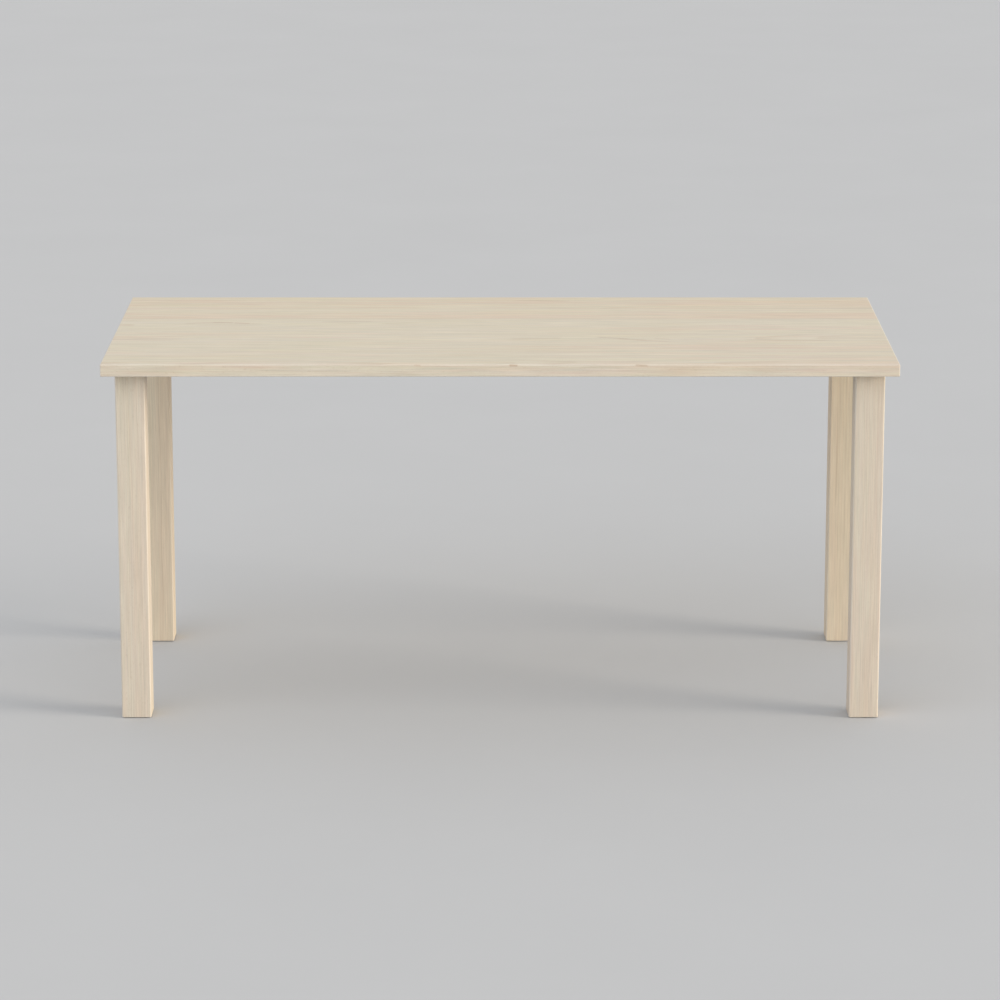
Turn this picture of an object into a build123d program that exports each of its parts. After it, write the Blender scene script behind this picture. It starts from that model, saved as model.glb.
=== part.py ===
from build123d import *
import os

# Communion table: an edge-glued hardwood top on four square legs, with no apron.
# Millimetres. The origin is on the floor under the middle of the top. X runs along
# the table, -Y is its front and Z is up.

# Driving dimensions of the table
table_length = 1600.0
table_depth = 700.0
table_height = 750.0
top_thickness = 25.0
board_widths = [130.0, 170.0, 165.0, 110.0, 125.0]  # front to back, together table_depth
top_arris_radius = 2.0
leg_side = 60.0
leg_arris_radius = 3.0
end_overhang = 25.0  # from an end of the top to the outer face of a leg
edge_inset = 40.0  # from a long edge of the top to the outer face of a leg
foot_radius = 2.0

# Steel plate that joins a leg to the top, let in flush with the underside
plate_side = 120.0
plate_thickness = 5.0
plate_setback = 6.0  # from the leg's outer faces to the plate's outer edges
plate_corner_radius = 6.0
pocket_play = 0.5

# M8 countersunk bolts, from the plate down into threaded inserts in the leg
bolt_radius = 4.0
bolt_head_radius = 8.0
bolt_length = 30.0
bolt_end_chamfer = 1.0
bolt_clearance_radius = 4.5
bolt_pitch = 26.0
bolt_socket_radius = 2.9
bolt_socket_depth = 3.0
insert_radius = 6.0
insert_length = 20.0
insert_relief_depth = 28.0

# Countersunk wood screws, from the plate up into the top
wood_screw_radius = 2.5
wood_screw_head_radius = 4.8
wood_screw_length = 20.0
wood_screw_tip = 4.0
wood_screw_margin = 15.0  # from the plate's inner edges to the screws
wood_screw_pitch = 45.0

# Steel channel let in across the underside, which keeps the top flat
channel_width = 40.0
channel_height = 12.0
channel_wall = 3.0
channel_length = 560.0
channel_spacing = 420.0
channel_screw_pitch = 130.0
channel_screw_count = 5
slot_length = 12.0
slot_radius = 2.75

# Pan-head screws, through the channel up into the top
pan_screw_radius = 2.5
pan_screw_length = 16.0
pan_head_radius = 5.0
pan_head_height = 2.6
pan_head_fillet = 1.6

# Nylon glide under each leg
glide_radius = 19.0
glide_thickness = 4.0
glide_proud = 1.0  # what stands out below the foot of the leg
glide_edge_radius = 0.6
glide_screw_radius = 2.0
glide_screw_head_radius = 4.0
glide_screw_length = 22.0
glide_screw_recess = 1.2  # from the floor up to the head of the screw
glide_screw_tip = 4.0

# Included angle of every countersunk head
countersink_angle = 90.0

# Cross recess in the head of a screw
cross_span = 4.6
cross_width = 1.1
cross_depth = 1.4

# Derived positions
underside = table_height - top_thickness
leg_x = table_length / 2 - end_overhang - leg_side / 2
leg_y = table_depth / 2 - edge_inset - leg_side / 2
plate_x = leg_x + leg_side / 2 - plate_setback - plate_side / 2
plate_y = leg_y + leg_side / 2 - plate_setback - plate_side / 2
plate_top = underside + plate_thickness
pocket_side = plate_side + 2 * pocket_play
bolt_offset = bolt_pitch / 2

corners = {
    "front_left": (-1, -1),
    "front_right": (1, -1),
    "back_left": (-1, 1),
    "back_right": (1, 1),
}
channels = {"left": -channel_spacing, "middle": 0.0, "right": channel_spacing}


def leg_centre(side, end):
    """Centre of the leg on that side (-1 left, 1 right) and end (-1 front, 1 back)."""
    return side * leg_x, end * leg_y


def plate_centre(side, end):
    return side * plate_x, end * plate_y


def bolt_places(side, end):
    """The four bolts of a leg, in a square about its centre."""
    x, y = leg_centre(side, end)
    steps = (-bolt_offset, bolt_offset)
    return [(x + across, y + along) for across in steps for along in steps]


def wood_screw_places(side, end):
    """The five screws of a plate, in an L round the inner corner that the leg leaves free."""
    x = plate_x - plate_side / 2 + wood_screw_margin
    y = plate_y - plate_side / 2 + wood_screw_margin
    along_x = [(x + wood_screw_pitch * step, y) for step in range(3)]
    along_y = [(x, y + wood_screw_pitch * step) for step in range(1, 3)]
    return [(side * place_x, end * place_y) for place_x, place_y in along_x + along_y]


def channel_screw_places(x):
    first = -channel_screw_pitch * (channel_screw_count - 1) / 2
    return [(x, first + channel_screw_pitch * step) for step in range(channel_screw_count)]


def save(piece, name):
    piece.label = name
    export_step(piece, f"parts/{name}.step")


all_bolts = [place for corner in corners.values() for place in bolt_places(*corner)]
all_wood_screws = [place for corner in corners.values() for place in wood_screw_places(*corner)]
all_channel_screws = [place for x in channels.values() for place in channel_screw_places(x)]
all_plates = [plate_centre(*corner) for corner in corners.values()]

os.makedirs("parts", exist_ok=True)

# The whole top before it is parted into boards: a slab with rounded arrises, and in its
# underside the plate pockets, the channel grooves and the screw holes.
with BuildPart() as slab:
    with BuildSketch(Plane.XY.offset(underside)):
        Rectangle(table_length, table_depth)
    extrude(amount=top_thickness)
    fillet(slab.edges(), radius=top_arris_radius)
    with BuildSketch(Plane.XY.offset(underside)):
        with Locations(*all_plates):
            RectangleRounded(pocket_side, pocket_side, plate_corner_radius + pocket_play)
    extrude(amount=plate_thickness, mode=Mode.SUBTRACT)
    with BuildSketch(Plane.XY.offset(underside)):
        with GridLocations(channel_spacing, 0, len(channels), 1):
            Rectangle(channel_width, channel_length)
    extrude(amount=channel_wall, mode=Mode.SUBTRACT)
    with BuildSketch(Plane.XY.offset(underside)):
        with GridLocations(channel_spacing, 0, len(channels), 1):
            with GridLocations(channel_width - channel_wall, 0, 2, 1):
                Rectangle(channel_wall, channel_length)
    extrude(amount=channel_height, mode=Mode.SUBTRACT)
    with BuildSketch(Plane.XY.offset(underside)):
        with Locations(*all_wood_screws):
            Circle(wood_screw_radius)
    extrude(amount=wood_screw_length, mode=Mode.SUBTRACT)
    with BuildSketch(Plane.XY.offset(underside)):
        with Locations(*all_channel_screws):
            Circle(pan_screw_radius)
    extrude(amount=pan_screw_length, mode=Mode.SUBTRACT)

# Top boards, front to back, each the whole length of the table
front_edge = -table_depth / 2
for number, width in enumerate(board_widths, start=1):
    with BuildPart() as top_board:
        add(slab.part)
        with Locations((0, front_edge + width / 2, table_height)):
            Box(2 * table_length, width, 4 * top_thickness, mode=Mode.INTERSECT)
    save(top_board.part, f"top_board_{number}")
    front_edge += width

# Legs, with rounded arrises, a recess for the glide and bored ends
for name, corner in corners.items():
    with BuildPart() as leg:
        with BuildSketch(Plane.XY.offset(glide_proud)):
            with Locations(leg_centre(*corner)):
                Rectangle(leg_side, leg_side)
        extrude(amount=underside - glide_proud)
        fillet(leg.edges().filter_by(Axis.Z), radius=leg_arris_radius)
        fillet(leg.faces().sort_by(Axis.Z)[0].edges(), radius=foot_radius)
        with BuildSketch(Plane.XY.offset(glide_proud)):
            with Locations(leg_centre(*corner)):
                Circle(glide_radius)
        extrude(amount=glide_thickness - glide_proud, mode=Mode.SUBTRACT)
        with BuildSketch(Plane.XY.offset(glide_thickness)):
            with Locations(leg_centre(*corner)):
                Circle(glide_screw_radius)
        extrude(amount=glide_screw_length, mode=Mode.SUBTRACT)
        with BuildSketch(Plane.XY.offset(underside)):
            with Locations(*bolt_places(*corner)):
                Circle(insert_radius)
        extrude(amount=-insert_length, mode=Mode.SUBTRACT)
        with BuildSketch(Plane.XY.offset(underside)):
            with Locations(*bolt_places(*corner)):
                Circle(bolt_clearance_radius)
        extrude(amount=-insert_relief_depth, mode=Mode.SUBTRACT)
    save(leg.part, f"leg_{name}")

# Leg plates: bolt holes countersunk from above, screw holes countersunk from below
for name, corner in corners.items():
    with BuildPart() as leg_plate:
        with BuildSketch(Plane.XY.offset(underside)):
            with Locations(plate_centre(*corner)):
                RectangleRounded(plate_side, plate_side, plate_corner_radius)
        extrude(amount=plate_thickness)
        with Locations(*[(x, y, plate_top) for x, y in bolt_places(*corner)]):
            CounterSinkHole(
                radius=bolt_clearance_radius,
                counter_sink_radius=bolt_head_radius,
                depth=plate_thickness,
                counter_sink_angle=countersink_angle,
            )
        with Locations(Plane.XY.offset(underside).rotated((180, 0, 0))):
            with Locations(*[(x, -y) for x, y in wood_screw_places(*corner)]):
                CounterSinkHole(
                    radius=wood_screw_radius,
                    counter_sink_radius=wood_screw_head_radius,
                    depth=plate_thickness,
                    counter_sink_angle=countersink_angle,
                )
    save(leg_plate.part, f"leg_plate_{name}")

# One M8 bolt, its head at the origin and its shank down
with BuildPart() as bolt:
    with BuildSketch(Plane.XZ):
        with BuildLine():
            Polyline(
                (0, 0),
                (bolt_head_radius, 0),
                (bolt_radius, bolt_radius - bolt_head_radius),
                (bolt_radius, bolt_end_chamfer - bolt_length),
                (bolt_radius - bolt_end_chamfer, -bolt_length),
                (0, -bolt_length),
                close=True,
            )
        make_face()
    revolve(axis=Axis.Z)
    with BuildSketch(Plane.XY):
        RegularPolygon(bolt_socket_radius, 6)
    extrude(amount=-bolt_socket_depth, mode=Mode.SUBTRACT)

# One threaded insert, its mouth at the origin
with BuildPart() as insert:
    with BuildSketch(Plane.XY):
        Circle(insert_radius)
        Circle(bolt_radius, mode=Mode.SUBTRACT)
    extrude(amount=-insert_length)

for name, corner in corners.items():
    with BuildPart() as leg_bolts:
        with Locations(*[(x, y, plate_top) for x, y in bolt_places(*corner)]):
            add(bolt.part)
    save(leg_bolts.part, f"leg_bolts_{name}")
    with BuildPart() as leg_inserts:
        with Locations(*[(x, y, underside) for x, y in bolt_places(*corner)]):
            add(insert.part)
    save(leg_inserts.part, f"leg_inserts_{name}")


# The cross recess that is cut into the head of every screw
with BuildPart() as cross_recess:
    with BuildSketch(Plane.XY):
        Rectangle(cross_span, cross_width)
        Rectangle(cross_width, cross_span)
    extrude(amount=cross_depth)

# One countersunk wood screw, its head at the origin and its point up
with BuildPart() as wood_screw:
    with BuildSketch(Plane.XZ):
        with BuildLine():
            Polyline(
                (0, 0),
                (wood_screw_head_radius, 0),
                (wood_screw_radius, wood_screw_head_radius - wood_screw_radius),
                (wood_screw_radius, wood_screw_length - wood_screw_tip),
                (0, wood_screw_length),
                close=True,
            )
        make_face()
    revolve(axis=Axis.Z)
    add(cross_recess.part, mode=Mode.SUBTRACT)

for name, corner in corners.items():
    with BuildPart() as plate_screws:
        with Locations(*[(x, y, underside) for x, y in wood_screw_places(*corner)]):
            add(wood_screw.part)
    save(plate_screws.part, f"plate_screws_{name}")

# Stiffening channels: the web is flush with the underside and slotted across the grain,
# apart from the middle hole, and the two flanges stand up into the top
for name, x in channels.items():
    with BuildPart() as stiffener:
        with BuildSketch(Plane.XY.offset(underside)):
            with Locations((x, 0)):
                Rectangle(channel_width, channel_length)
        extrude(amount=channel_height)
        with BuildSketch(Plane.XY.offset(underside + channel_wall)):
            with Locations((x, 0)):
                Rectangle(channel_width - 2 * channel_wall, channel_length)
        extrude(amount=channel_height, mode=Mode.SUBTRACT)
        with BuildSketch(Plane.XY.offset(underside)):
            for place in channel_screw_places(x):
                with Locations(place):
                    if place[1] == 0:
                        Circle(slot_radius)
                    else:
                        SlotOverall(slot_length, 2 * slot_radius, rotation=90)
        extrude(amount=channel_wall, mode=Mode.SUBTRACT)
    save(stiffener.part, f"stiffener_{name}")

# One pan-head screw, the seat of its head at the origin and its point up
with BuildPart() as pan_screw:
    with BuildSketch(Plane.XY.offset(-pan_head_height)):
        Circle(pan_head_radius)
    extrude(amount=pan_head_height)
    fillet(pan_screw.edges().sort_by(Axis.Z)[0], radius=pan_head_fillet)
    with Locations((0, 0, -pan_head_height)):
        add(cross_recess.part, mode=Mode.SUBTRACT)
    with BuildSketch(Plane.XY):
        Circle(pan_screw_radius)
    extrude(amount=pan_screw_length)

for name, x in channels.items():
    with BuildPart() as stiffener_screws:
        with Locations(*[(*place, underside) for place in channel_screw_places(x)]):
            add(pan_screw.part)
    save(stiffener_screws.part, f"stiffener_screws_{name}")

# Glides, with a recess that keeps the screw's head off the floor
glide_seat = glide_screw_recess + glide_screw_head_radius - glide_screw_radius
for name, corner in corners.items():
    with BuildPart() as glide:
        with BuildSketch(Plane.XY):
            with Locations(leg_centre(*corner)):
                Circle(glide_radius)
        extrude(amount=glide_thickness)
        fillet(glide.edges().sort_by(Axis.Z)[0], radius=glide_edge_radius)
        with BuildSketch(Plane.XY):
            with Locations(leg_centre(*corner)):
                Circle(glide_screw_head_radius)
        extrude(amount=glide_screw_recess, mode=Mode.SUBTRACT)
        with BuildSketch(Plane.XY):
            with Locations(leg_centre(*corner)):
                Circle(glide_screw_radius)
        extrude(amount=glide_thickness, mode=Mode.SUBTRACT)
        with Locations((*leg_centre(*corner), (glide_screw_recess + glide_seat) / 2)):
            Cone(
                glide_screw_head_radius,
                glide_screw_radius,
                glide_seat - glide_screw_recess,
                mode=Mode.SUBTRACT,
            )
    save(glide.part, f"glide_{name}")

# One glide screw, its head at the origin and its point up
with BuildPart() as glide_screw:
    with BuildSketch(Plane.XZ):
        with BuildLine():
            Polyline(
                (0, 0),
                (glide_screw_head_radius, 0),
                (glide_screw_radius, glide_screw_head_radius - glide_screw_radius),
                (glide_screw_radius, glide_screw_length - glide_screw_tip),
                (0, glide_screw_length),
                close=True,
            )
        make_face()
    revolve(axis=Axis.Z)
    add(cross_recess.part, mode=Mode.SUBTRACT)

for name, corner in corners.items():
    with BuildPart() as placed_screw:
        with Locations((*leg_centre(*corner), glide_screw_recess)):
            add(glide_screw.part)
    save(placed_screw.part, f"glide_screw_{name}")
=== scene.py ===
import math

import bpy
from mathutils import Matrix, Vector


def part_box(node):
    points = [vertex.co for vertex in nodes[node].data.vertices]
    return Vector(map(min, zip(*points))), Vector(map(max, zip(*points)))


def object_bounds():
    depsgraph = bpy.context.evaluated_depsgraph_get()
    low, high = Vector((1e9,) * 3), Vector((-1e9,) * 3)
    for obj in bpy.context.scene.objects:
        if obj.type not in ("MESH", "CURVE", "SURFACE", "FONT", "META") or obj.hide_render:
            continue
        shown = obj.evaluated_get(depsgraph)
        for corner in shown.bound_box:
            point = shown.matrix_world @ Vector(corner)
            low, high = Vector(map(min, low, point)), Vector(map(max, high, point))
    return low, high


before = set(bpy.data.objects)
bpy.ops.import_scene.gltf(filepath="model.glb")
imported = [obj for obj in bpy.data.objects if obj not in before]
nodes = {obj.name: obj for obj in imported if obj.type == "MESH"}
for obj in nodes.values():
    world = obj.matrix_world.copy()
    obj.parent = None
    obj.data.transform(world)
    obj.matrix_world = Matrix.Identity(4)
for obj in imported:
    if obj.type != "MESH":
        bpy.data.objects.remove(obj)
cad_low, cad_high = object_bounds()

# A maple table, in the frame's own axes: X along the table, -Y its front and Z up. All lengths are metres.
CORNERS = ("front_left", "front_right", "back_left", "back_right")
CHANNELS = ("left", "middle", "right")
TOP = cad_high.z
FRONT = cad_low.y


class Graph:
    """Adds nodes to one node tree and links them. A value is a number, a tuple or a socket."""

    def __init__(self, tree):
        self.tree = tree

    def put(self, socket, value):
        if isinstance(value, bpy.types.NodeSocket):
            self.tree.links.new(value, socket)
        else:
            socket.default_value = value

    def add(self, kind, inputs, **settings):
        node = self.tree.nodes.new(kind)
        for name, value in settings.items():
            setattr(node, name, value)
        for name, value in inputs.items():
            self.put(node.inputs[name], value)
        return node

    def group(self, tree, inputs):
        """A node group with those inputs, as its outputs."""
        return self.add("ShaderNodeGroup", inputs, node_tree=tree).outputs

    def place(self):
        """The place in the frame: a CAD node's own coordinates are the frame's."""
        return self.add("ShaderNodeTexCoord", {}).outputs["Object"]

    def math(self, operation, *values, clamp=False):
        inputs = dict(enumerate(values))
        return self.add("ShaderNodeMath", inputs, operation=operation, use_clamp=clamp).outputs[0]

    def product(self, first, second):
        return self.math("MULTIPLY", first, second)

    def total(self, first, *others):
        for value in others:
            first = self.math("ADD", first, value)
        return first

    def vector(self, operation, *values):
        node = self.add("ShaderNodeVectorMath", dict(enumerate(values)), operation=operation)
        return node.outputs["Value" if operation in ("LENGTH", "DOT_PRODUCT") else "Vector"]

    def split(self, value):
        node = self.add("ShaderNodeSeparateXYZ", {"Vector": value})
        return node.outputs["X"], node.outputs["Y"], node.outputs["Z"]

    def join(self, x, y, z):
        return self.add("ShaderNodeCombineXYZ", {"X": x, "Y": y, "Z": z}).outputs["Vector"]

    def noise(self, place, per_metre, detail=2.0, roughness=0.5):
        """Noise about 0.5 of the place, with so many features to the metre along each axis."""
        stretched = self.vector("MULTIPLY", place, per_metre)
        inputs = {"Vector": stretched, "Scale": 1.0, "Detail": detail, "Roughness": roughness}
        return self.add("ShaderNodeTexNoise", inputs).outputs["Fac"]

    def centred(self, value, amount):
        """Noise about 0.5 turned to about 0, times the amount."""
        return self.product(self.math("SUBTRACT", value, 0.5), amount)

    def span(self, value, low, high, to_low=0.0, to_high=1.0):
        """A smooth step of the value, from to_low at low to to_high at high."""
        inputs = {"Value": value, "From Min": low, "From Max": high}
        inputs |= {"To Min": to_low, "To Max": to_high}
        node = self.add("ShaderNodeMapRange", inputs, interpolation_type="SMOOTHSTEP")
        return node.outputs["Result"]

    def mix(self, amount, first, second):
        """Mixes two colours, and amount is the second's share."""
        node = self.add("ShaderNodeMix", {}, data_type="RGBA")
        sockets = {socket.identifier: socket for socket in node.inputs}
        self.put(sockets["Factor_Float"], amount)
        self.put(sockets["A_Color"], first)
        self.put(sockets["B_Color"], second)
        return next(s for s in node.outputs if s.identifier == "Result_Color")

    def shaded(self, color, shade):
        """The colour, lighter or darker by a factor."""
        return self.vector("MULTIPLY", color, self.join(shade, shade, shade))


def evenly(per_metre):
    return per_metre, per_metre, per_metre


def node_group(name, inputs, outputs):
    """An empty shader node group with those sockets, and its graph, input and output nodes."""
    tree = bpy.data.node_groups.new(name, "ShaderNodeTree")
    for in_out, sockets in (("INPUT", inputs), ("OUTPUT", outputs)):
        for socket, kind in sockets.items():
            tree.interface.new_socket(socket, in_out=in_out, socket_type=f"NodeSocket{kind}")
    graph = Graph(tree)
    return tree, graph, tree.nodes.new("NodeGroupInput").outputs, tree.nodes.new("NodeGroupOutput")


def new_material(name, **uniform):
    """An empty node material, its graph and its shader. uniform are values that are the same all over."""
    material = bpy.data.materials.new(name)
    material.use_nodes = True
    graph = Graph(material.node_tree)
    material.node_tree.nodes.clear()
    shader = graph.add("ShaderNodeBsdfPrincipled", {})
    for socket, value in uniform.items():
        shader.inputs[socket.replace("_", " ")].default_value = value
    output = graph.add("ShaderNodeOutputMaterial", {})
    graph.put(output.inputs["Surface"], shader.outputs["BSDF"])
    return material, graph, shader


def cover(g, shader, color, roughness, height=None):
    """Gives the shader its colour, its roughness and, in metres, the height of its fine relief."""
    g.put(shader.inputs["Base Color"], color)
    g.put(shader.inputs["Roughness"], roughness)
    if height is not None:
        bump = g.add("ShaderNodeBump", {"Distance": 1.0, "Height": height})
        g.put(shader.inputs["Normal"], bump.outputs["Normal"])


def give(node, material):
    """Puts the material in every slot of a CAD node."""
    for slot in nodes[node].material_slots:
        slot.material = material


# Maple. The wood is one pattern in the solid log that each piece was sawn from.

WOOD_PALE = (0.708, 0.620, 0.482, 1.0)
WOOD_LATE = (0.530, 0.392, 0.262, 1.0)  # the thin dense line at the end of each year's growth
WOOD_PINK = (0.690, 0.548, 0.418, 1.0)
WOOD_GREEN = (0.672, 0.604, 0.466, 1.0)
WOOD_RAY = (0.520, 0.390, 0.262, 1.0)
WOOD_MINERAL = (0.330, 0.190, 0.095, 1.0)
# The arrises' paler colour: worn lacquer, and a painted highlight of the light that the rounded arrises catch
WOOD_RUBBED_HIGHLIGHT = (0.810, 0.765, 0.680, 1.0)

# How often each pattern comes to the metre, along the grain and in the two directions across it
WANDER = (0.9, 5.0, 5.0)
RIPPLE = (7.0, 26.0, 26.0)
FIBRE = (9.0, 420.0, 420.0)
THREAD = (14.0, 260.0, 260.0)
STREAK = (5.0, 95.0, 95.0)
BAND = (0.55, 11.0, 11.0)
WISP = (4.5, 80.0, 80.0)
STRAW = (3.5, 70.0, 70.0)
MINERAL = (2.4, 70.0, 70.0)
LACQUER = (90.0, 140.0, 140.0)
MARK_WAVER = (7.0, 20.0, 20.0)
WEATHER = (55.0, 1.0, 1.0)  # along the radius of the log
RAY = (140.0, 1.0, 70.0)  # along the grain, round the log in rays, and along its radius

# These two patterns are read elsewhere in the noise, so that they don't follow the others
WISP_OFFSET = (5.0, 3.0, 1.0)
STRAW_OFFSET = (9.0, 2.0, 4.0)

RING_WIDTH = 0.0034
RING_SHIFT = 3.0  # in rings, the range over which wide and narrow years move them
LATE_SHARPNESS = 3.0
LATE_END = 0.93  # the part of a year's growth after which its dark line stops short
FAINTEST_YEAR = 0.15
RAYS_PER_RADIAN = 330.0
WANDER_SWAY = 0.050
RIPPLE_SWAY = 0.0035
DEPTH_SWAY = -0.7  # how much the rings sway in depth for their sway across
SEAM_WIDTH = 0.0009
RUBBED_HIGHLIGHT_WIDTH = 0.0028  # from an arris, where the rubbing and the painted highlight fade out
RUBBED_HIGHLIGHT_FULL = 0.0006
RUBBED_HIGHLIGHT_WAVER = 0.002
MARK_WAVER_SIZE = 4.0  # in widths of the mark
MARK_ENDS = (-0.03, 0.12)  # how a mark fades towards its ends, by the product of the two shares of its length

# Where on its noise each pattern begins and where it is full, from 0 to 1
HUE_EDGE = (0.30, 0.70)
PALE_EDGE = (0.30, 0.70)
LATE_EDGE = (0.30, 0.62)  # of the streaks that the late lines come and go with
RAY_EDGE = (0.58, 0.74)
MINERAL_EDGE = (0.70, 0.80)
MINERAL_FIBRE = (0.25, 0.65)  # of the fibres that break the mineral streaks up
END_EDGE = (0.6, 0.95)  # of how far a face is turned to the grain

# How far each thing moves the hue towards green-yellow
BAND_HUE = 1.3
WISP_HUE = 1.2
BLUSH_HUE = -0.45
MARK_HUE = -0.5

# The share of its own colour that each thing gives
PALE_LEAST = 0.05
PALE_MOST = 0.60
LATE_LEAST = 0.25  # of LATE_SHARE
LATE_SHARE = 0.85
RAY_SHARE = 0.22
MINERAL_SHARE = 0.80
MINERAL_LEAST = 0.55  # of MINERAL_SHARE
OWN_MINERAL = 0.35  # of MINERAL_SHARE
RUBBED_HIGHLIGHT_SHARE = 0.36

# How far each thing lightens and darkens the wood, or the factor that darkens it
FIBRE_SHADE = 0.30
THREAD_SHADE = 0.22
STREAK_SHADE = 0.22
STRAW_BLUE = 0.20
END_FACTOR = 0.82
SEAM_FACTOR = 0.76

# Satin lacquer's roughness, and what each thing adds to it
LACQUER_ROUGHNESS = 0.52
FIBRE_ROUGHNESS = 0.16
LATE_ROUGHNESS = -0.04
END_ROUGHNESS = 0.12
RUBBED_ROUGHNESS = -0.05

# Fine relief, in metres
FIBRE_RELIEF = 0.00008
LACQUER_RELIEF = 0.00003
RAY_RELIEF = -0.00002
LATE_RELIEF = -0.00001


def place_in_log(g, place, ripple):
    """The place along, across and deep from the pith. The log isn't straight: its rings wander slowly
    and ripple a little."""
    along, across, depth = g.split(place)
    sway = g.total(g.centred(g.noise(place, WANDER), WANDER_SWAY), g.centred(ripple, RIPPLE_SWAY))
    return along, g.total(across, sway), g.total(depth, g.product(sway, DEPTH_SWAY))


def late_wood(g, radius, streak):
    """Growth rings, of wide and narrow years: how much of the thin darker line that ends each year there is.
    The lines come and go along the grain."""
    weather = g.noise(g.join(radius, 0.0, 0.0), WEATHER, detail=1.0)
    years = g.total(g.math("DIVIDE", radius, RING_WIDTH), g.centred(weather, RING_SHIFT))
    season = g.math("FRACT", years)
    late = g.product(g.math("POWER", season, LATE_SHARPNESS), g.span(season, 1.0, LATE_END))
    year = g.math("FLOOR", years)
    strength = g.add("ShaderNodeTexWhiteNoise", {"W": year}, noise_dimensions="1D").outputs["Value"]
    late = g.product(late, g.span(strength, 0.2, 1.0, to_low=FAINTEST_YEAR))
    return g.product(late, g.span(streak, *LATE_EDGE, to_low=LATE_LEAST))


def wood_rays(g, along, across, depth, radius):
    """Rays run out from the pith: radial lines on end grain, and short flecks along the faces."""
    angle = g.math("ARCTAN2", depth, across)
    ray_place = g.join(along, g.product(angle, RAYS_PER_RADIAN), radius)
    return g.span(g.noise(ray_place, RAY, detail=1.0), *RAY_EDGE)


def wood_hue(g, place, given):
    """From pink at 0 to green-yellow at 1, in bands and wisps along the grain."""
    band = g.noise(place, BAND, detail=2.0)
    wisp = g.noise(g.vector("ADD", place, WISP_OFFSET), WISP, detail=4.0, roughness=0.65)
    hue = g.total(g.centred(band, BAND_HUE), g.centred(wisp, WISP_HUE))
    hue = g.total(0.5, g.product(hue, given["Figure"]))
    hue = g.total(hue, g.centred(given["Blush"], BLUSH_HUE), g.product(given["Mark"], MARK_HUE))
    return g.span(hue, *HUE_EDGE)


def wood_tint(g, place, given, fibre, streak):
    """What the colour is multiplied by: the piece's tone (on the back legs also painted light), darker and
    lighter fibres and streaks, and straw-coloured streaks, which have less blue. End grain drinks more of the
    finish and is darker, and a glue line is a hair darker."""
    thread = g.noise(place, THREAD, detail=2.0, roughness=0.6)
    shade = g.total(1.0, g.centred(fibre, FIBRE_SHADE), g.centred(thread, THREAD_SHADE))
    shade = g.total(shade, g.centred(streak, STREAK_SHADE))
    shade = g.product(shade, g.span(given["End"], 0.0, 1.0, to_low=1.0, to_high=END_FACTOR))
    shade = g.product(shade, g.span(given["Seam"], 0.0, SEAM_WIDTH, to_low=SEAM_FACTOR))
    straw = g.noise(g.vector("ADD", place, STRAW_OFFSET), STRAW, detail=3.0, roughness=0.6)
    blue = g.total(1.0, g.centred(straw, g.product(given["Figure"], STRAW_BLUE)))
    tint = g.vector("MULTIPLY", given["Tone_and_painted_light"], g.join(1.0, 1.0, blue))
    return g.shaded(tint, shade)


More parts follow.
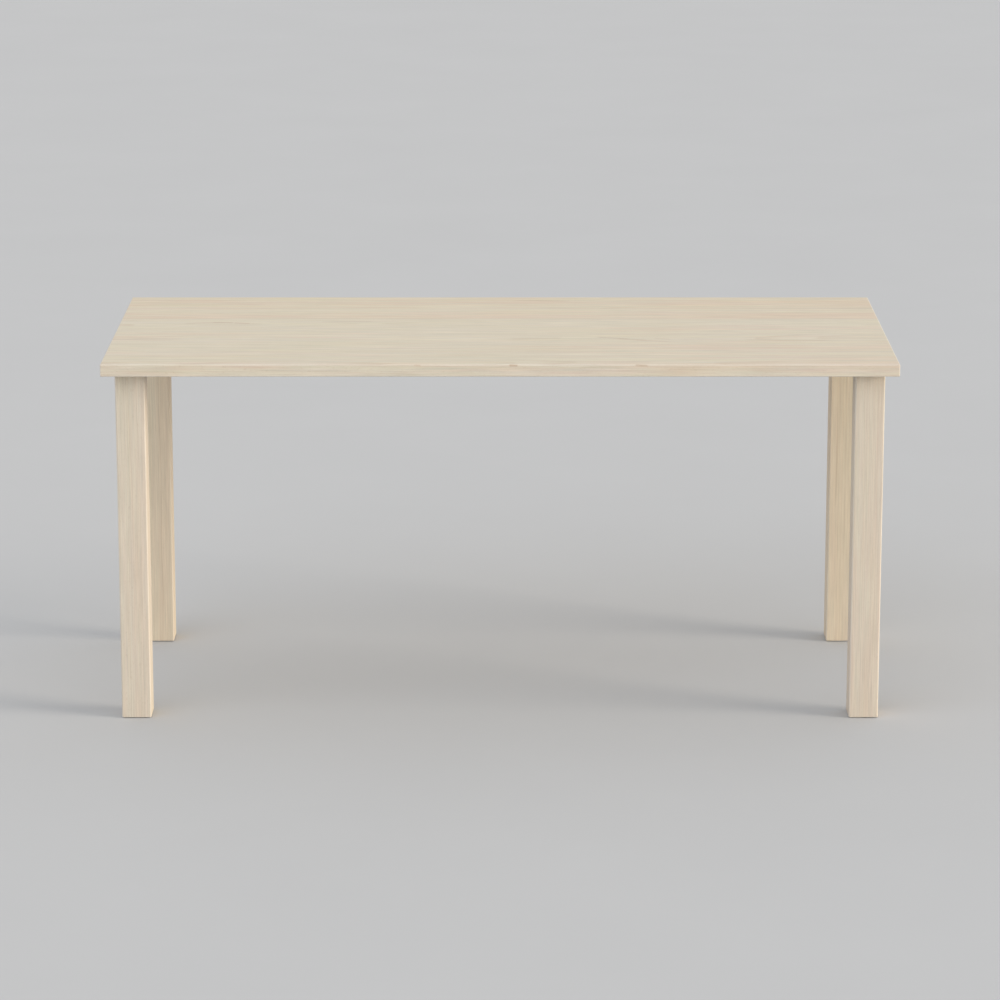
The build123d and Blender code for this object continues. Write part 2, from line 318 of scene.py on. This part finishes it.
def maple_group():
    """Solid maple as a function of the place in the log: X runs along the grain and the pith is at Y = Z = 0.
    End is 1 on end grain. Edge and Seam are the distances to the nearest arris and glue line. Mark is the
    strength of a dark mineral streak, Blush is how pink the wood is, Figure is the strength of its streaks
    and wisps, and Tone_and_painted_light multiplies its colour: the piece's tone, and on the back legs
    painted light."""
    numbers = ("End", "Edge", "Seam", "Mark", "Blush", "Figure")
    tree, g, given, out = node_group(
        "maple",
        {"Place": "Vector", "Tone_and_painted_light": "Vector"} | dict.fromkeys(numbers, "Float"),
        {"Color": "Color", "Roughness": "Float", "Height": "Float"},
    )
    place, mark = given["Place"], given["Mark"]
    fibre = g.noise(place, FIBRE, detail=4.0, roughness=0.6)
    streak = g.noise(place, STREAK, detail=3.0, roughness=0.65)
    streak = g.total(0.5, g.centred(streak, given["Figure"]))
    ripple = g.noise(place, RIPPLE, detail=3.0)
    along, across, depth = place_in_log(g, place, ripple)
    radius = g.vector("LENGTH", g.join(0.0, across, depth))
    late = late_wood(g, radius, streak)
    ray = wood_rays(g, along, across, depth, radius)

    # Mineral streaks: the log's own, few and faint, and those that are asked for
    own = g.span(g.noise(place, MINERAL, detail=3.0), *MINERAL_EDGE)
    mineral = g.math("MAXIMUM", g.product(own, OWN_MINERAL), mark)
    mineral = g.product(mineral, g.span(fibre, *MINERAL_FIBRE, to_low=1.0, to_high=MINERAL_LEAST))

    color = g.mix(wood_hue(g, place, given), WOOD_PINK, WOOD_GREEN)
    pale = g.span(streak, *PALE_EDGE, to_low=PALE_LEAST, to_high=PALE_MOST)
    color = g.mix(pale, color, WOOD_PALE)
    color = g.mix(g.product(late, LATE_SHARE), color, WOOD_LATE)
    color = g.mix(g.product(ray, RAY_SHARE), color, WOOD_RAY)
    color = g.mix(g.product(mineral, MINERAL_SHARE), color, WOOD_MINERAL)
    color = g.vector("MULTIPLY", color, wood_tint(g, place, given, fibre, streak))

    # Arrises are paler: partly rubbed by hand and cloth, partly a painted highlight of the light that the
    # rounded arrises catch. Neither is put over a mark
    rubbed_and_highlight = g.total(given["Edge"], g.centred(ripple, RUBBED_HIGHLIGHT_WAVER))
    rubbed_and_highlight = g.product(g.span(rubbed_and_highlight, RUBBED_HIGHLIGHT_WIDTH, RUBBED_HIGHLIGHT_FULL), g.math("SUBTRACT", 1.0, mark))
    color = g.mix(g.product(rubbed_and_highlight, RUBBED_HIGHLIGHT_SHARE), color, WOOD_RUBBED_HIGHLIGHT)

    # The lacquer is duller on end grain, and polished a little where it is rubbed
    roughness = g.total(LACQUER_ROUGHNESS, g.centred(fibre, FIBRE_ROUGHNESS))
    roughness = g.total(roughness, g.product(late, LATE_ROUGHNESS))
    roughness = g.total(roughness, g.product(given["End"], END_ROUGHNESS))
    roughness = g.total(roughness, g.product(rubbed_and_highlight, RUBBED_ROUGHNESS))

    # Fibres and the brushed lacquer stand out a little, and rays and late wood are sunk
    lacquer = g.noise(place, LACQUER, detail=2.0)
    height = g.total(g.centred(fibre, FIBRE_RELIEF), g.centred(lacquer, LACQUER_RELIEF))
    height = g.total(height, g.product(ray, RAY_RELIEF), g.product(late, LATE_RELIEF))

    for name, value in (("Color", color), ("Roughness", roughness), ("Height", height)):
        g.put(out.inputs[name], value)
    return tree


def mark_group():
    """A streak in the wood along the line From - To: 1 on the line, fading out at Width and at its ends."""
    tree, g, given, out = node_group(
        "mark",
        {"Place": "Vector", "From": "Vector", "To": "Vector", "Width": "Float"},
        {"Mark": "Float"},
    )
    start, width = given["From"], given["Width"]
    waver = g.noise(given["Place"], MARK_WAVER, detail=3.0, roughness=0.4)
    waver = g.centred(waver, g.product(width, MARK_WAVER_SIZE))
    place = g.vector("ADD", given["Place"], g.join(0.0, waver, 0.0))
    line = g.vector("SUBTRACT", given["To"], start)
    offset = g.vector("SUBTRACT", place, start)
    along = g.math("DIVIDE", g.vector("DOT_PRODUCT", offset, line), g.vector("DOT_PRODUCT", line, line))
    along = g.math("ADD", along, 0.0, clamp=True)
    nearest = g.vector("MULTIPLY", line, g.join(along, along, along))
    distance = g.vector("LENGTH", g.vector("SUBTRACT", offset, nearest))
    mark = g.span(g.math("DIVIDE", distance, width), 1.0, 0.0)
    from_ends = g.product(g.math("SUBTRACT", 1.0, along), along)
    g.put(out.inputs["Mark"], g.product(mark, g.span(from_ends, *MARK_ENDS)))
    return tree


MAPLE = maple_group()
MARK = mark_group()


def nearest_arris(g, place, box):
    """The distance from the place to the nearest edge of a box: the smallest, over the pairs
    of axes, of the larger of the two distances to the faces."""
    centre, half = (box[0] + box[1]) / 2, (box[1] - box[0]) / 2
    offset = g.vector("ABSOLUTE", g.vector("SUBTRACT", place, tuple(centre)))
    x, y, z = g.split(g.vector("SUBTRACT", tuple(half), offset))
    first, second, third = (g.math("MAXIMUM", a, b) for a, b in ((x, y), (y, z), (z, x)))
    return g.math("MINIMUM", g.math("MINIMUM", first, second), third)


def nearest_seam(g, y, box, whole):
    """The distance from Y to the nearest glue line, a long side of the box that is inside the whole
    that it is glued into. Where there is none, it is a metre."""
    seam = 1.0
    for side, outer_side in ((box[0].y, whole[0].y), (box[1].y, whole[1].y)):
        if side != outer_side:
            seam = g.math("MINIMUM", seam, g.math("ABSOLUTE", g.math("SUBTRACT", y, side)))
    return seam


def wood_material(name, grain, box, whole, log_place, tone_and_painted_light, blush, figure, marks=()):
    """Maple for one piece. grain is "x" or "z", the axis that its fibres run along. box is the piece's own,
    and whole is the box whose edges are rounded, which is larger where the piece is glued to others.
    log_place is where the frame's origin lies in the log, and blush and figure are the maple's.
    tone_and_painted_light is the piece's tone, and on the back legs also painted light.
    marks are its dark streaks, each from a place to a place, with a width and a strength."""
    material, g, shader = new_material(name, IOR=1.45, Specular_IOR_Level=0.24)
    place = g.place()
    x, y, z = g.split(place)
    turned = g.join(x, y, z) if grain == "x" else g.join(z, x, y)
    normal = g.vector("ABSOLUTE", g.add("ShaderNodeTexCoord", {}).outputs["Normal"])
    facing_along = g.split(normal)["xyz".index(grain)]
    mark = 0.0
    for start, stop, width, strength in marks:
        one = g.group(MARK, {"Place": place, "From": start, "To": stop, "Width": width})["Mark"]
        mark = g.math("MAXIMUM", mark, g.product(one, strength))
    inputs = {
        "Place": g.vector("ADD", turned, log_place),
        "End": g.span(facing_along, *END_EDGE),
        "Edge": nearest_arris(g, place, whole),
        "Seam": nearest_seam(g, y, box, whole),
        "Mark": mark,
        "Blush": blush,
        "Figure": figure,
        "Tone_and_painted_light": tone_and_painted_light,
    }
    wood = g.group(MAPLE, inputs)
    cover(g, shader, wood["Color"], wood["Roughness"], wood["Height"])
    return material


# Each board and leg: where the frame's origin lies in its log, its tone (on the back legs also painted
# light), how pink it is and how strong its figure is
BOARDS = {
    "top_board_1": ((4.0, 0.330, -0.640), (1.0, 1.0, 1.0), 0.22, 1.0),
    "top_board_2": ((12.2, 0.090, -0.860), (1.0, 1.0, 1.0), 0.22, 1.0),
    "top_board_3": ((15.6, -0.060, -0.655), (1.0, 1.0, 1.0), 0.10, 1.0),
    "top_board_4": ((18.2, -0.240, -0.835), (1.0, 0.99, 0.975), 0.60, 1.0),
    "top_board_5": ((24.7, -0.225, -0.660), (0.990, 0.980, 0.955), 0.54, 1.0),
}
LEGS = {
    "leg_front_left": ((31.0, 0.860, 0.330), (1.0, 0.99, 1.0), 0.52, 0.50),
    "leg_front_right": ((37.0, -0.640, 0.350), (1.0, 0.99, 1.0), 0.62, 0.50),
    # The back legs' tones are painted light: warmer, for the warm light bounced under the top, and lighter,
    # to make up for the key light's shade on them
    "leg_back_left": ((43.0, 0.840, -0.360), (1.03, 1.0, 0.955), 0.50, 0.30),
    "leg_back_right": ((49.0, -0.670, -0.170), (1.06, 1.03, 0.975), 0.50, 0.30),
}

# Streaks in the upper face of a board: from X, Y to X, Y, with a width and a strength
STREAKS = {
    "top_board_2": [
        ((0.020, -0.100), (0.130, -0.092), 0.009, 0.20),
        ((0.200, -0.085), (0.270, -0.098), 0.007, 0.46),
        ((0.240, -0.096), (0.305, -0.111), 0.007, 0.50),
        ((0.275, -0.110), (0.350, -0.127), 0.007, 0.38),
        ((0.230, -0.098), (0.360, -0.128), 0.020, 0.14),
        ((0.318, -0.088), (0.352, -0.096), 0.006, 0.36),
        ((0.500, -0.110), (0.680, -0.112), 0.006, 0.34),
    ],
    "top_board_3": [
        ((-0.665, 0.066), (-0.570, 0.072), 0.006, 0.45),
        ((-0.608, 0.074), (-0.560, 0.073), 0.006, 0.60),
        ((-0.560, 0.070), (-0.525, 0.062), 0.006, 0.55),
        ((-0.640, 0.052), (-0.500, 0.050), 0.020, 0.12),
        ((-0.380, 0.083), (-0.265, 0.087), 0.007, 0.28),
        ((-0.400, 0.107), (0.790, 0.108), 0.008, 0.12),
    ],
    "top_board_5": [
        ((0.020, 0.303), (0.150, 0.306), 0.009, 0.28),
    ],
}

# Short dark specks in the front arris: from X to X, with a width and a strength. Each slopes down from
# the first depth below the top to the second.
SPECK_BOARD = "top_board_1"
SPECK_DEPTHS = (0.001, 0.002)
SPECKS = [
    (-0.172, -0.158, 0.0034, 0.30),
    (0.018, 0.036, 0.0040, 0.85),
    (0.270, 0.296, 0.0038, 0.62),
]


def marks_of(board):
    """The board's streaks and specks, as wood_material takes them."""
    marks = []
    for start, stop, width, strength in STREAKS.get(board, []):
        marks.append(((*start, TOP), (*stop, TOP), width, strength))
    if board == SPECK_BOARD:
        high, low = (TOP - depth for depth in SPECK_DEPTHS)
        for start, stop, width, strength in SPECKS:
            marks.append(((start, FRONT, high), (stop, FRONT, low), width, strength))
    return marks


top_box = (Vector((cad_low.x, cad_low.y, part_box("top_board_1")[0].z)), Vector(cad_high))
for name, wood in BOARDS.items():
    give(name, wood_material(f"maple_{name}", "x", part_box(name), top_box, *wood, marks_of(name)))
for name, wood in LEGS.items():
    give(name, wood_material(f"maple_{name}", "z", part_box(name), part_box(name), *wood))


# Metal and nylon

COAT_BLACK = (0.018, 0.018, 0.019, 1.0)
COAT_GREY = (0.034, 0.034, 0.035, 1.0)
COAT_DUST = (0.16, 0.155, 0.15, 1.0)
ZINC_DARK = (0.50, 0.51, 0.53, 1.0)
ZINC_BRIGHT = (0.68, 0.69, 0.70, 1.0)
BRASS_DARK = (0.60, 0.43, 0.19, 1.0)
BRASS_BRIGHT = (0.78, 0.60, 0.32, 1.0)
NYLON_DARK = (0.050, 0.046, 0.042, 1.0)
NYLON_LIGHT = (0.066, 0.061, 0.056, 1.0)
NYLON_SCUFF = (0.26, 0.25, 0.235, 1.0)
SCUFF_HEIGHT = 0.0012  # above the floor


def powder_coat():
    """Black powder coat with its fine orange peel and a little dust."""
    material, g, shader = new_material("black_powder_coat", IOR=1.5)
    place = g.place()
    peel = g.noise(place, evenly(900.0), detail=2.0)
    cloud = g.noise(place, evenly(30.0), detail=3.0)
    dust = g.span(g.noise(place, evenly(400.0), detail=4.0), 0.62, 0.75)
    color = g.mix(cloud, COAT_BLACK, COAT_GREY)
    color = g.mix(g.product(dust, 0.25), color, COAT_DUST)
    cover(g, shader, color, g.total(0.52, g.centred(cloud, 0.2)), g.centred(peel, 0.00008))
    return material


def turned_metal(name, dark, bright, roughness):
    """Bright metal with fine marks and a slightly clouded surface."""
    material, g, shader = new_material(name, Metallic=1.0)
    place = g.place()
    cloud = g.noise(place, evenly(240.0), detail=3.0)
    marks = g.noise(place, (2500.0, 2500.0, 600.0), detail=2.0)
    roughness = g.total(roughness, g.centred(cloud, 0.22), g.centred(marks, 0.12))
    cover(g, shader, g.mix(cloud, dark, bright), roughness, g.centred(marks, 0.00002))
    return material


def nylon():
    """Dark moulded nylon, scuffed pale where it meets the floor."""
    material, g, shader = new_material("glide_nylon", IOR=1.53)
    place = g.place()
    height = g.split(place)[2]
    grain = g.noise(place, evenly(1300.0), detail=2.0)
    scuff = g.span(g.noise(place, (150.0, 700.0, 300.0), detail=4.0), 0.48, 0.62)
    scuff = g.product(g.span(height, SCUFF_HEIGHT, 0.0), scuff)
    color = g.mix(grain, NYLON_DARK, NYLON_LIGHT)
    color = g.mix(g.product(scuff, 0.5), color, NYLON_SCUFF)
    cover(g, shader, color, g.total(0.5, g.product(scuff, 0.2)), g.centred(grain, 0.00005))
    return material


COAT = powder_coat()
ZINC = turned_metal("zinc_plate", ZINC_DARK, ZINC_BRIGHT, roughness=0.34)
BRASS = turned_metal("insert_brass", BRASS_DARK, BRASS_BRIGHT, roughness=0.30)
NYLON = nylon()

for corner in CORNERS:
    give(f"leg_plate_{corner}", COAT)
    give(f"leg_bolts_{corner}", ZINC)
    give(f"leg_inserts_{corner}", BRASS)
    give(f"plate_screws_{corner}", ZINC)
    give(f"glide_{corner}", NYLON)
    give(f"glide_screw_{corner}", ZINC)
for channel in CHANNELS:
    give(f"stiffener_{channel}", COAT)
    give(f"stiffener_screws_{channel}", ZINC)


# Studio: a plain pale floor, a sky that is as pale as the floor at the horizon and brighter overhead,
# a warm low key light from the right and a cool wide fill from the left

FLOOR_COLOR = (0.555, 0.550, 0.542)
FLOOR_RADIUS = 60.0
FLOOR_GAP = 0.0002  # keeps the floor clear of the glides' flat undersides
SKY_LOW = (0.552, 0.557, 0.562, 1.0)
SKY_HIGH = (0.780, 0.796, 0.822, 1.0)
KEY_COLOR = (1.0, 0.930, 0.82)
FILL_COLOR = (0.68, 0.80, 1.0)

# Camera: in front of the table's middle, above it and pitched down at it
CAMERA_PLACE = (0.0, -7.818, 2.351)
CAMERA_PITCH = 12.63  # degrees below level
CAMERA_LENS = 137.6  # mm, on the default 36 mm sensor
CAMERA_SHIFT_Y = -0.1
CAMERA_REACH = 200.0


def floor():
    place = (0, 0, cad_low.z - FLOOR_GAP)
    bpy.ops.mesh.primitive_circle_add(vertices=128, radius=FLOOR_RADIUS, fill_type="NGON", location=place)
    made = bpy.context.object
    made.name = "floor"
    material, g, shader = new_material("pale_floor", Specular_IOR_Level=0.0)
    cloud = g.noise(g.place(), evenly(1.6), detail=5.0, roughness=0.6)
    color = g.shaded(FLOOR_COLOR, g.total(1.0, g.centred(cloud, 0.05)))
    cover(g, shader, color, g.total(0.85, g.centred(cloud, 0.1)))
    made.data.materials.append(material)


def sky():
    world = bpy.data.worlds.new("studio_sky")
    world.use_nodes = True
    bpy.context.scene.world = world
    g = Graph(world.node_tree)
    background = world.node_tree.nodes["Background"]
    direction = g.add("ShaderNodeTexCoord", {}).outputs["Generated"]
    height = g.split(direction)[2]
    g.put(background.inputs["Color"], g.mix(g.span(height, 0.02, 0.60), SKY_LOW, SKY_HIGH))


def broad_light(name, turn, rise, width, power, color):
    """A light from far off and as wide as an angle. turn is from straight in front towards +X, rise is
    above the floor, and all three are degrees."""
    data = bpy.data.lights.new(name, "SUN")
    data.energy = power
    data.angle = math.radians(width)
    data.color = color
    made = bpy.data.objects.new(name, data)
    turn, rise = math.radians(turn), math.radians(rise)
    toward = Vector((math.cos(rise) * math.sin(turn), -math.cos(rise) * math.cos(turn), math.sin(rise)))
    made.rotation_euler = toward.to_track_quat("Z", "Y").to_euler()
    bpy.context.scene.collection.objects.link(made)


def camera():
    data = bpy.data.cameras.new("camera")
    data.lens = CAMERA_LENS
    data.shift_y = CAMERA_SHIFT_Y
    data.clip_end = CAMERA_REACH
    made = bpy.data.objects.new("camera", data)
    made.location = CAMERA_PLACE
    made.rotation_euler = (math.radians(90.0 - CAMERA_PITCH), 0.0, 0.0)
    bpy.context.scene.collection.objects.link(made)
    bpy.context.scene.camera = made


floor()
sky()
broad_light("key", turn=75.0, rise=13.0, width=24.0, power=2.60, color=KEY_COLOR)
broad_light("fill", turn=-38.0, rise=12.0, width=80.0, power=1.15, color=FILL_COLOR)
camera()
bpy.context.scene.view_settings.view_transform = "Standard"
